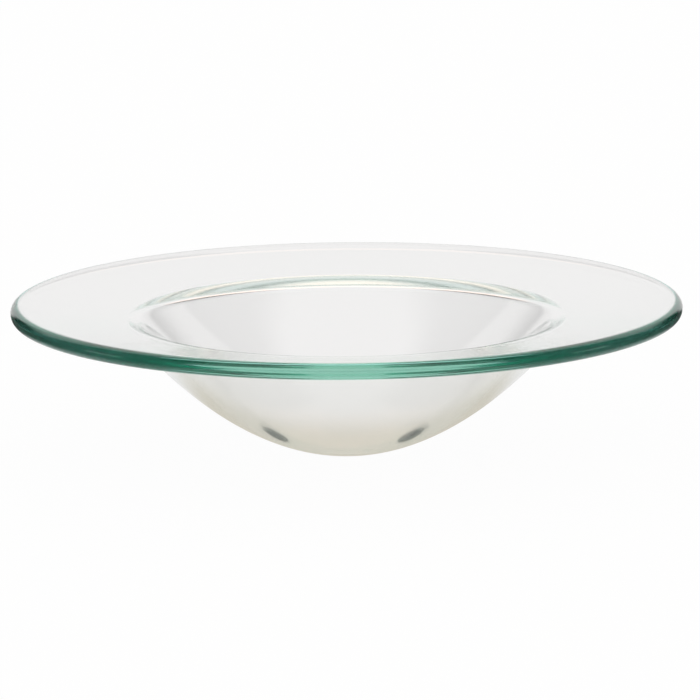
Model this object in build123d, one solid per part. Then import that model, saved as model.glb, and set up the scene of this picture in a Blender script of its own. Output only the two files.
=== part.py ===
from build123d import *
import math
import os

# The dish of a wax melt warmer: one round of clear float glass, slumped hot into a deep well
# with a small flat foot, and left with a wide flange whose edge is ground and polished round.
# The well holds the melted wax, and the bend under the flange sits on the warmer's ring.
# The origin is the centre of the foot's underside, and +Z is up.

# Sizes of the sheet and its flange, in millimetres and degrees
rim_diameter = 127.0
glass_thickness = 3.0
flange_slope = 8.0

# Sizes of the well's outside: at its top, where it meets the bend, and the bend's underside
well_diameter = 81.0
wall_height = 22.0
bend_radius = 2.5

# Sizes of the bottom, where the stretched sheet is thinner: the foot's diameter is taken
# outside its rounded edge, where the wall starts
foot_diameter = 17.0
foot_edge_radius = 12.0
floor_thickness = 1.5


def arc_point(centre, radius, slope_angle):
    """The point of an arc above its centre where the glass has the given slope."""
    return centre + Vector(-math.sin(slope_angle), math.cos(slope_angle)) * radius


def wall_control(low, low_slope, high, high_slope):
    """The point where the tangents at a wall's low and high ends meet."""
    rise = high.Y - low.Y - low_slope * (high.X - low.X)
    back = rise / (high_slope - low_slope)
    return Vector(high.X - back, high.Y - back * high_slope)


def dish_section():
    """Half of the dish's section, right of the axis, worked out from the foot to the rim."""
    foot_radius = foot_diameter / 2
    well_radius = well_diameter / 2
    edge_radius = glass_thickness / 2
    slope_angle = math.radians(flange_slope)

    # Outside, the wall is a parabola about the axis, so its slope grows with the radius
    coefficient = wall_height / (well_radius**2 - foot_radius**2)
    foot_slope = 2 * coefficient * foot_radius
    wall_slope = 2 * coefficient * well_radius
    foot_angle = math.atan(foot_slope)
    wall_angle = math.atan(wall_slope)

    # One centre serves both faces of the foot's rounded edge, so they stay parallel
    foot_centre = Vector(foot_radius - foot_edge_radius * math.sin(foot_angle), foot_edge_radius)
    floor_edge_radius = foot_edge_radius - floor_thickness
    foot_end = arc_point(foot_centre, -foot_edge_radius, foot_angle)
    floor_end = arc_point(foot_centre, -floor_edge_radius, foot_angle)

    # One centre serves both faces of the bend as well
    wall_top = foot_end + Vector(well_radius - foot_radius, wall_height)
    bend_centre = arc_point(wall_top, -bend_radius, wall_angle)
    outer_bend_radius = bend_radius + glass_thickness
    inner_wall_top = arc_point(bend_centre, outer_bend_radius, wall_angle)

    # The flange runs straight up to the middle of the half-round edge
    flange_start = arc_point(bend_centre, bend_radius + edge_radius, slope_angle)
    flange_reach = rim_diameter / 2 - edge_radius - flange_start.X
    edge_centre = flange_start + Vector(flange_reach, flange_reach * math.tan(slope_angle))

    foot_turn = math.degrees(foot_angle)
    bend_turn = math.degrees(wall_angle) - flange_slope
    outside = wall_control(foot_end, foot_slope, wall_top, wall_slope)
    inside = wall_control(floor_end, foot_slope, inner_wall_top, wall_slope)

    with BuildSketch(Plane.XZ) as section:
        with BuildLine():
            foot_edge = CenterArc(foot_centre, foot_edge_radius, -90, foot_turn)
            Bezier(foot_end, outside, wall_top)
            bend_below = CenterArc(bend_centre, bend_radius, 90 + flange_slope, bend_turn)
            edge = CenterArc(edge_centre, edge_radius, flange_slope - 90, 180)
            bend_above = CenterArc(bend_centre, outer_bend_radius, 90 + flange_slope, bend_turn)
            Bezier(inner_wall_top, inside, floor_end)
            floor_edge = CenterArc(foot_centre, floor_edge_radius, -90, foot_turn)
            Line(bend_below @ 0, edge @ 0)
            Line(edge @ 1, bend_above @ 0)
            Polyline(floor_edge @ 0, (0, floor_thickness), (0, 0), foot_edge @ 0)
        make_face()
    return section.sketch


def glass_dish():
    """The whole dish, turned about its axis from the one section."""
    dish = revolve(dish_section(), Axis.Z)
    dish.label = "glass_dish"
    return dish


os.makedirs("parts", exist_ok=True)
export_step(glass_dish(), "parts/glass_dish.step")
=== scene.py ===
import math

import bmesh
import bpy
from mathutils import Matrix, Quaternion, Vector


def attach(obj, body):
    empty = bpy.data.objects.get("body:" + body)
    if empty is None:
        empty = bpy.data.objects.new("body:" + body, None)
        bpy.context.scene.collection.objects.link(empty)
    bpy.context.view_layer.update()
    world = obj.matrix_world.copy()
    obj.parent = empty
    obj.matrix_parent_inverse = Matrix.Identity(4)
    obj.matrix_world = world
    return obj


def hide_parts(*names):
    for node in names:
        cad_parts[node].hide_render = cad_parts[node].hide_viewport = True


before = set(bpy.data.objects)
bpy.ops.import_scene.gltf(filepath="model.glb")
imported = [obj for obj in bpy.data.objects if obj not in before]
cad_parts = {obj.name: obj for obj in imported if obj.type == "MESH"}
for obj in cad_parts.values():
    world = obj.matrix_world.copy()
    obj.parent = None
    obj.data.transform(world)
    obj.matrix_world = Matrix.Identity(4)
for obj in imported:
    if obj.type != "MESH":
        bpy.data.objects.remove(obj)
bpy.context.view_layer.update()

# The dish
# One round of clear float glass, slumped hot into a mould, which gives it a deep well and leaves a
# wide flange. Its edge is ground and polished round, and looks green through the sheet's whole width.

rim_radius = 0.0635
sheet = 0.003
edge_radius = sheet / 2
flange_slope = math.radians(8.0)
well_radius = 0.0405
wall_height = 0.022
bend_radius = 0.0025
foot_radius = 0.0085
foot_edge_radius = 0.012
floor_thickness = 0.0015

# The wall's outside is a parabola about the axis, between the foot's rounded edge and the bend
wall_curve = wall_height / (well_radius**2 - foot_radius**2)
foot_angle = math.atan(2 * wall_curve * foot_radius)
wall_angle = math.atan(2 * wall_curve * well_radius)

# How many steps draw each stretch of the section, and how many turns make the dish round
edge_steps = 28
bend_steps = 12
wall_steps = 56
foot_steps = 5
flange_steps = 18
flat_steps = 3
turn_steps = 300
merge_distance = edge_radius / 1000


def off_arc(centre, radius, slope):
    """The point of an arc above its centre where the glass has the given slope."""
    return centre + Vector((-math.sin(slope), 0, math.cos(slope))) * radius


def shares(steps):
    """The ends of equal steps, as shares of the whole stretch."""
    return [step / steps for step in range(1, steps + 1)]


def select_end(mesh, place):
    """Selects only the point of the drawn line that lies at the given place."""
    shape = bmesh.from_edit_mesh(mesh)
    bpy.ops.mesh.select_all(action="DESELECT")
    nearest = min(shape.verts, key=lambda point: (point.co - place).length)
    nearest.select_set(True)
    shape.select_flush_mode()
    bmesh.update_edit_mesh(mesh)
    return nearest.co.copy()


def draw(start, places):
    """Extrudes the selected point from place to place, and gives the last one."""
    for place in places:
        bpy.ops.mesh.extrude_region_move(TRANSFORM_OT_translate={"value": place - start})
        start = place
    return start


def arc(centre, radius, first, last, steps):
    """Places along an arc between two slopes of the glass, without the first."""
    return [off_arc(centre, radius, first + (last - first) * share) for share in shares(steps)]


def straight(start, end, steps):
    """Places along a straight stretch, without the first."""
    return [start.lerp(end, share) for share in shares(steps)]


def bow(start, middle, end, steps):
    """Places along a parabola given by its ends and the point where their tangents meet."""
    return [start.lerp(middle, share).lerp(middle.lerp(end, share), share) for share in shares(steps)]


def tangents_meet(low, low_slope, high, high_slope):
    """The point where the tangents at a wall's low and high ends meet."""
    rise = high.z - low.z - low_slope * (high.x - low.x)
    back = rise / (high_slope - low_slope)
    return Vector((high.x - back, 0, high.z - back * high_slope))


foot_slope = math.tan(foot_angle)
wall_slope = math.tan(wall_angle)
floor_edge_radius = foot_edge_radius - floor_thickness
foot_centre = Vector((foot_radius - foot_edge_radius * math.sin(foot_angle), 0, foot_edge_radius))
foot_end = off_arc(foot_centre, -foot_edge_radius, foot_angle)
floor_end = off_arc(foot_centre, -floor_edge_radius, foot_angle)
wall_top = foot_end + Vector((well_radius - foot_radius, 0, wall_height))
bend_centre = off_arc(wall_top, -bend_radius, wall_angle)
outer_bend = bend_radius + sheet
inner_wall_top = off_arc(bend_centre, outer_bend, wall_angle)
flange_start = off_arc(bend_centre, bend_radius + edge_radius, flange_slope)
flange_reach = rim_radius - edge_radius - flange_start.x
edge_centre = flange_start + Vector((flange_reach, 0, flange_reach * math.tan(flange_slope)))

# The section is drawn as a line in the plane of X and Z. It starts as the circle of the edge, whose
# inner half is cut away, and runs on from both ends of the outer half to the axis
bpy.ops.object.select_all(action="DESELECT")
bpy.ops.mesh.primitive_circle_add(
    vertices=2 * edge_steps, radius=edge_radius, location=edge_centre, rotation=(math.pi / 2, 0, 0)
)
dish = bpy.context.object
dish.name = dish.data.name = "clear_glass_dish"
bpy.ops.object.transform_apply(location=True, rotation=True, scale=True)
bpy.ops.object.mode_set(mode="EDIT")
bpy.ops.transform.rotate(value=flange_slope, orient_axis="Y", center_override=edge_centre)
section = bmesh.from_edit_mesh(dish.data)
outwards = Vector((math.cos(flange_slope), 0, math.sin(flange_slope)))
just_inside = -edge_radius / edge_steps
bpy.ops.mesh.select_all(action="DESELECT")
for point in section.verts:
    point.select_set((point.co - edge_centre).dot(outwards) < just_inside)
section.select_flush_mode()
bmesh.update_edit_mesh(dish.data)
bpy.ops.mesh.delete(type="VERT")

# Along the top: flange, bend, wall, the floor's edge and the floor
drawn_to = select_end(dish.data, off_arc(edge_centre, edge_radius, flange_slope))
drawn_to = draw(drawn_to, straight(drawn_to, off_arc(bend_centre, outer_bend, flange_slope), flange_steps))
drawn_to = draw(drawn_to, arc(bend_centre, outer_bend, flange_slope, wall_angle, bend_steps))
inner_middle = tangents_meet(floor_end, foot_slope, inner_wall_top, wall_slope)
drawn_to = draw(drawn_to, bow(inner_wall_top, inner_middle, floor_end, wall_steps))
drawn_to = draw(drawn_to, arc(foot_centre, -floor_edge_radius, foot_angle, 0, foot_steps))
draw(drawn_to, straight(drawn_to, Vector((0, 0, floor_thickness)), flat_steps))

# Along the underside: flange, bend, wall, the foot's edge and the foot
drawn_to = select_end(dish.data, off_arc(edge_centre, -edge_radius, flange_slope))
drawn_to = draw(drawn_to, straight(drawn_to, off_arc(bend_centre, bend_radius, flange_slope), flange_steps))
drawn_to = draw(drawn_to, arc(bend_centre, bend_radius, flange_slope, wall_angle, bend_steps))
outer_middle = tangents_meet(foot_end, foot_slope, wall_top, wall_slope)
drawn_to = draw(drawn_to, bow(wall_top, outer_middle, foot_end, wall_steps))
drawn_to = draw(drawn_to, arc(foot_centre, -foot_edge_radius, foot_angle, 0, foot_steps))
draw(drawn_to, straight(drawn_to, Vector((0, 0, 0)), flat_steps))

# The line is turned about the axis, and the turned skin is closed
bpy.ops.mesh.select_all(action="SELECT")
bpy.ops.mesh.spin(steps=turn_steps, angle=2 * math.pi, center=(0, 0, 0), axis=(0, 0, 1))
bpy.ops.mesh.select_all(action="SELECT")
bpy.ops.mesh.remove_doubles(threshold=merge_distance)
bpy.ops.mesh.dissolve_degenerate(threshold=merge_distance)
bpy.ops.mesh.normals_make_consistent(inside=False)
bpy.ops.object.mode_set(mode="OBJECT")
bpy.ops.object.shade_smooth()


def blank_material(name):
    """A new material, its nodes and its surface."""
    material = bpy.data.materials.new(name)
    material.use_nodes = True
    return material, material.node_tree, material.node_tree.nodes["Principled BSDF"]


def add(tree, kind, inputs, **settings):
    """Adds a node, sets it, and fills its inputs with numbers, colours or other nodes' outputs."""
    node = tree.nodes.new("ShaderNode" + kind)
    for name, setting in settings.items():
        setattr(node, name, setting)
    for name, given in inputs.items():
        if isinstance(given, bpy.types.NodeSocket):
            tree.links.new(given, node.inputs[name])
        else:
            node.inputs[name].default_value = given
    return node


def sum_of(tree, operation, *given):
    """One sum on sockets or numbers."""
    return add(tree, "Math", dict(enumerate(given)), operation=operation).outputs["Value"]


def step_up(tree, given, ends):
    """A smooth step from 0 at the first of two ends to 1 at the second."""
    inputs = {"Value": given, "From Min": ends[0], "From Max": ends[1]}
    return add(tree, "MapRange", inputs, interpolation_type="SMOOTHSTEP").outputs["Result"]


def noise(tree, place, scale, detail):
    """A cloudy pattern of the given scale, from 0 to 1."""
    return add(tree, "TexNoise", {"Vector": place, "Scale": scale, "Detail": detail}).outputs["Fac"]


def blend(tree, share, first, second):
    """A colour between two others."""
    return add(tree, "Mix", {0: share, 6: first, 7: second}, data_type="RGBA").outputs[2]


# What the glass does to light: how much red, green and blue it loses on its way, in parts per
# metre, and the tint of what is seen in through the edge, which fades in where its rounding starts
refraction = 1.52
green_loss = (5.0, 1.3, 2.4)
edge_tint = (0.22, 0.96, 0.86, 1)
edge_tint_pale = (0.30, 1.0, 0.94, 1)
untinted = (1, 1, 1, 1)
tint_ends = (edge_centre.x, edge_centre.x + edge_radius / 5)

# How rough the faces are, how many patches and waves there are in a metre and how finely they are
# broken up, and how steep and deep the waves are
face_roughness = 0.065
patch_scale = 140
patch_detail = 2
wave_scale = 45
wave_detail = 1
wave_strength = 0.004
wave_depth = 0.001


def glass(name):
    """Clear float glass: colourless through its faces, green where the eye looks in at the edge."""
    material, tree, surface = blank_material(name)
    surface.inputs["Transmission Weight"].default_value = 1.0
    surface.inputs["Roughness"].default_value = face_roughness
    surface.inputs["IOR"].default_value = refraction

    # Iron in the melt takes out red most, blue less and green least
    most = max(green_loss)
    kept = [1 - part / most for part in green_loss] + [1]
    volume = add(tree, "VolumeAbsorption", {"Density": most, "Color": kept})
    tree.links.new(volume.outputs["Volume"], tree.nodes["Material Output"].inputs["Volume"])

    # Only what enters the glass at the edge is tinted, and not what leaves it there
    place = add(tree, "TexCoord", {}).outputs["Object"]
    flat = add(tree, "VectorMath", {0: place, 1: (1, 1, 0)}, operation="MULTIPLY").outputs["Vector"]
    reach = add(tree, "VectorMath", {0: flat}, operation="LENGTH").outputs["Value"]
    at_edge = step_up(tree, reach, tint_ends)
    leaving = add(tree, "NewGeometry", {}).outputs["Backfacing"]
    entering = add(tree, "Math", {0: at_edge, 1: leaving}, operation="SUBTRACT", use_clamp=True)

    # A polished edge still has a faint patchiness from the wheel
    patches = noise(tree, place, patch_scale, patch_detail)
    tint = blend(tree, patches, edge_tint, edge_tint_pale)
    colour = blend(tree, entering.outputs["Value"], untinted, tint)
    tree.links.new(colour, surface.inputs["Base Color"])

    # Slumped glass keeps a long, very shallow waviness from the heat
    waves = noise(tree, place, wave_scale, wave_detail)
    relief = add(tree, "Bump", {"Height": waves, "Strength": wave_strength, "Distance": wave_depth})
    tree.links.new(relief.outputs["Normal"], surface.inputs["Normal"])
    return material


dish.data.materials.append(glass("clear float glass, green at its edge"))
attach(dish, "root")
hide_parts("glass_dish")

# The table
# A wide sheet of matt white paper that the dish stands on. The camera sees it as plain white with the
# dish's faint shadow. The glass sees it greyer, with a warm painted shadow close to the dish, and dark
# towards its corners.

table_reach = 4.0
matt_white = (0.86, 0.85, 0.83, 1)
seen_white = (1.0, 1.0, 1.0, 1)
white_in_glass = (0.905, 0.89, 0.89, 1)
# The warm grey that the glass sees on the table close to the dish is a painted shadow of the dish
painted_shadow_colour = (0.66, 0.62, 0.53, 1)
dark = (0.012, 0.012, 0.012, 1)

# How much of what the camera and the glass see there is the colour meant for them. The rest is the
# matt sheet with its shadow
camera_share = 0.97
glass_share = 0.9

# What is seen at the end of a long way inside the glass turns greener between so many meetings with
# its faces
long_way_green = (0.08, 0.75, 0.50, 1)
long_way_meetings = (13, 19)


def degrees(start, end):
    """Two angles given in degrees."""
    return math.radians(start), math.radians(end)


# Angles from straight behind the dish, at which the bright strip there ends and the one to the sides
# starts. Mirrored on the glass's outside, the first strip is wider
strip_end = degrees(15, 22)
wider_mirrored = math.radians(5)
side_strip_start = degrees(80, 86)

# Distances from the dish's axis, over which the painted shadow close to the dish fades out and the table's
# corners turn dark.
# Mirrored on the glass's outside, the corners start closer
painted_shadow_end = (0.033, 0.052)
corner_start = (0.15, 0.20)
closer_mirrored = 0.08


def without(tree, share, left_out):
    """A share of which another share is left out."""
    return sum_of(tree, "MULTIPLY", share, sum_of(tree, "SUBTRACT", 1, left_out))


def layer(tree, share, under, over):
    """A shader that covers a share of another one."""
    return add(tree, "MixShader", {"Fac": share, 1: under, 2: over}).outputs["Shader"]


def seen_by(tree):
    """Whether something is seen by the camera, by the glass at all, and mirrored on its outside."""
    path = add(tree, "LightPath", {}).outputs
    glass_ray = sum_of(tree, "MAXIMUM", path["Is Glossy Ray"], path["Is Transmission Ray"])
    return path["Is Camera Ray"], glass_ray, path["Is Reflection Ray"]


def greener(tree, colour):
    """A colour that turns greener at the end of a long way inside the glass, from face to face."""
    meetings = add(tree, "LightPath", {}).outputs["Ray Depth"]
    ends = {0: step_up(tree, meetings, long_way_meetings), 6: colour, 7: long_way_green}
    return add(tree, "Mix", ends, data_type="RGBA", blend_type="MULTIPLY").outputs[2]


def beside(tree, across, along, mirrored):
    """The angle away from straight behind the dish, and a step from the bright strip there to the dark."""
    turn = sum_of(tree, "ARCTAN2", across, along)
    wider = sum_of(tree, "MULTIPLY", mirrored, wider_mirrored)
    return turn, step_up(tree, sum_of(tree, "SUBTRACT", turn, wider), strip_end)


def table_paint(name):
    """Matt white with a shadow, under what the camera and the glass are meant to see."""
    paint, tree, matt = blank_material(name)
    matt.inputs["Base Color"].default_value = matt_white
    matt.inputs["Roughness"].default_value = 1.0
    matt.inputs["Specular IOR Level"].default_value = 0.0

    # The table's four quarters are alike: a bright strip along the line through dish and camera, one
    # to the side that is left out where it is mirrored, and a dark corner between them
    place = add(tree, "TexCoord", {}).outputs["Object"]
    reach = add(tree, "VectorMath", {0: place}, operation="LENGTH").outputs["Value"]
    parts = add(tree, "SeparateXYZ", {"Vector": place})
    across = sum_of(tree, "SUBTRACT", sum_of(tree, "ABSOLUTE", parts.outputs["X"]), rim_radius)
    along = sum_of(tree, "SUBTRACT", sum_of(tree, "ABSOLUTE", parts.outputs["Y"]), rim_radius)
    by_camera, by_glass, mirrored = seen_by(tree)
    turn, corner = beside(tree, across, along, mirrored)
    side_strip = without(tree, step_up(tree, turn, side_strip_start), mirrored)
    corner = without(tree, corner, side_strip)
    farther = sum_of(tree, "ADD", reach, sum_of(tree, "MULTIPLY", mirrored, closer_mirrored))
    corner = sum_of(tree, "MULTIPLY", corner, step_up(tree, farther, corner_start))
    # Close to the dish the glass sees a warm painted shadow on the table
    near = blend(tree, step_up(tree, reach, painted_shadow_end), painted_shadow_colour, white_in_glass)
    in_glass = greener(tree, blend(tree, corner, near, dark))

    plain = add(tree, "Emission", {"Color": seen_white}).outputs["Emission"]
    greyer = add(tree, "Emission", {"Color": in_glass}).outputs["Emission"]
    to_camera = sum_of(tree, "MULTIPLY", by_camera, camera_share)
    to_glass = sum_of(tree, "MULTIPLY", by_glass, glass_share)
    seen = layer(tree, to_glass, layer(tree, to_camera, matt.outputs["BSDF"], plain), greyer)
    tree.links.new(seen, tree.nodes["Material Output"].inputs["Surface"])
    return paint


bpy.ops.object.select_all(action="DESELECT")
bpy.ops.mesh.primitive_plane_add(size=2 * table_reach, location=(0, 0, 0))
table = bpy.context.object
table.name = table.data.name = "white_table"
table.data.materials.append(table_paint("matt white table"))

# The dark cards
# Four small dark ovals of painted shade on the table under the dish, which only the glass shows. They
# darken the two ends of the well's bottom: two stand behind the foot, and two lie in front of it.

card_points = 24
standing_half_height = 0.0008
lying_half_depth = 0.0024

# The middle and half the width of each card, and how far a standing one leans along the well's bottom
standing_cards = (
    ((-0.0156, 0.014, 0.0016), 0.0034, 0.37),
    ((0.0138, 0.014, 0.00175), 0.0036, -0.33),
)
lying_cards = (
    ((-0.0154, -0.0107, 0.0001), 0.0032),
    ((0.0135, -0.0124, 0.0001), 0.0032),
)

# A standing card is seen only through both walls of the well, past more than three of its faces,
# and a lying one only mirrored once or twice, so that neither shows as a dark streak elsewhere
faces_passed = 3.5
times_mirrored = 1.5
mirrored_margin = 1.0


def shade_paint(name, counted, comparison, *limits):
    """Painted shade in black for those rays whose count fits the comparison, and nothing for all others."""
    paint, tree, shade_surface = blank_material(name)
    shade_surface.inputs["Base Color"].default_value = dark
    count = add(tree, "LightPath", {}).outputs[counted]
    hidden = add(tree, "BsdfTransparent", {}).outputs["BSDF"]
    seen = layer(tree, sum_of(tree, comparison, count, *limits), hidden, shade_surface.outputs["BSDF"])
    tree.links.new(seen, tree.nodes["Material Output"].inputs["Surface"])
    return paint


def shade_card(place, turn, half_sizes, paint):
    """One oval card of painted shade, of which neither the camera nor the table takes any notice."""
    bpy.ops.mesh.primitive_circle_add(vertices=card_points, radius=1, fill_type="NGON", location=place)
    card = bpy.context.object
    card.name = card.data.name = "shade_card"
    card.rotation_euler = turn
    card.scale = (*half_sizes, 1)
    bpy.ops.object.transform_apply(location=True, rotation=True, scale=True)
    card.visible_camera = card.visible_diffuse = card.visible_shadow = False
    card.data.materials.append(paint)


# Painted shade on cards behind and in front of the foot, seen only in the glass
standing_paint = shade_paint("painted shade standing card", "Transmission Depth", "GREATER_THAN", faces_passed)
for place, half_width, lean in standing_cards:
    shade_card(place, (math.pi / 2, lean, 0), (half_width, standing_half_height), standing_paint)

lying_paint = shade_paint("painted shade lying card", "Glossy Depth", "COMPARE", times_mirrored, mirrored_margin)
for place, half_width in lying_cards:
    shade_card(place, (0, 0, 0), (half_width, lying_half_depth), lying_paint)

# The studio
# White walls and a soft white ceiling. Dark flags stand at both sides and around the camera, which
# the edge of the glass shows as its dark stretches, and one soft yellowish lamp hangs behind the dish.

# Where the lamp fades in and out: its heights above the table and its angle from straight behind
lamp_white = (1.41, 1.17, 1.07, 1)
lamp_bottom = degrees(30, 36)
lamp_top = degrees(52, 60)
lamp_side = degrees(20, 28)

# The flags leave a low gap straight left and right of the dish, and end below the ceiling
gap_start = degrees(80, 84)
gap_end = degrees(96, 100)
gap_top = degrees(10, 18)
flag_top = degrees(55, 70)

# Mirrored on the glass's outside, the flags end that much lower, but for a stretch at the sides
lower_mirrored = math.radians(40)
tall_start = degrees(47, 60)
tall_end = degrees(110, 125)


def band(tree, given, start, end):
    """A smooth step up at one pair of ends, and down again at another."""
    return sum_of(tree, "SUBTRACT", step_up(tree, given, start), step_up(tree, given, end))


def studio_colour(tree):
    """Plain white for the camera, and walls, flags and lamp for the glass."""
    parts = add(tree, "SeparateXYZ", {"Vector": add(tree, "TexCoord", {}).outputs["Generated"]})
    across = sum_of(tree, "ABSOLUTE", parts.outputs["X"])
    height = sum_of(tree, "ARCSINE", parts.outputs["Z"])
    by_camera, by_glass, mirrored = seen_by(tree)

    turn, flag = beside(tree, across, parts.outputs["Y"], mirrored)
    gap = without(tree, band(tree, turn, gap_start, gap_end), step_up(tree, height, gap_top))
    flag = without(tree, flag, gap)
    lower = without(tree, mirrored, band(tree, turn, tall_start, tall_end))
    raised = sum_of(tree, "ADD", height, sum_of(tree, "MULTIPLY", lower, lower_mirrored))
    flag = without(tree, flag, step_up(tree, raised, flag_top))
    flag = sum_of(tree, "MULTIPLY", flag, by_glass)

    lamp = without(tree, band(tree, height, lamp_bottom, lamp_top), step_up(tree, turn, lamp_side))
    walls = blend(tree, lamp, white_in_glass, lamp_white)
    walls = greener(tree, blend(tree, flag, walls, dark))
    return blend(tree, by_camera, walls, seen_white)


studio = bpy.context.scene.world or bpy.data.worlds.new("studio")
bpy.context.scene.world = studio
studio.use_nodes = True
studio_tree = studio.node_tree
studio_tree.nodes.clear()
sky = add(studio_tree, "Background", {"Color": studio_colour(studio_tree), "Strength": 1.0})
add(studio_tree, "OutputWorld", {"Surface": sky.outputs["Background"]})

# The camera
# It looks from the front, a little above the rim, from far enough that the ellipses of the rim and
# the foot match the photograph's. The rim's centre falls on the given pixel.

camera_rise = math.radians(10.67)
camera_distance = 0.9
camera_roll = math.radians(-0.5)
picture_side_px = 700
rim_half_width_px = 336.35
rim_centre_px = (346.9, 306.4)
sensor_mm = 36
nearest_seen = 0.01

# The length of the lens in pixels follows from how wide the rim looks, and the camera aims beside
# the rim's centre by as many pixels as that lies off the picture's middle
lens_px = rim_half_width_px * math.sqrt(camera_distance**2 - rim_radius**2) / rim_radius
pixel = camera_distance / lens_px
rim_centre = Vector((0, 0, edge_centre.z))
upwards = Vector((0, math.sin(camera_rise), math.cos(camera_rise)))
backwards = Vector((0, -math.cos(camera_rise), math.sin(camera_rise)))
eye = rim_centre + backwards * camera_distance
aim = rim_centre - upwards * pixel * (picture_side_px / 2 - rim_centre_px[1])
aim.x += pixel * (picture_side_px / 2 - rim_centre_px[0])

lens = bpy.data.cameras.new("camera")
lens.sensor_width = sensor_mm
lens.lens = lens_px * sensor_mm / picture_side_px
lens.clip_start = nearest_seen
camera = bpy.data.objects.new("camera", lens)
camera.location = eye
camera.rotation_mode = "QUATERNION"
camera.rotation_quaternion = (aim - eye).to_track_quat("-Z", "Y") @ Quaternion((0, 0, 1), camera_roll)
bpy.context.collection.objects.link(camera)
bpy.context.scene.camera = camera

# Paths inside the glass end after as many meetings as fit the dark stretches of its edge best. The
# limits for meetings of one kind are higher, so that they end none sooner
most_meetings = 23
most_of_one_kind = 32
bpy.context.scene.view_settings.view_transform = "Standard"
bpy.context.scene.cycles.max_bounces = most_meetings
bpy.context.scene.cycles.transmission_bounces = most_of_one_kind
bpy.context.scene.cycles.glossy_bounces = most_of_one_kind
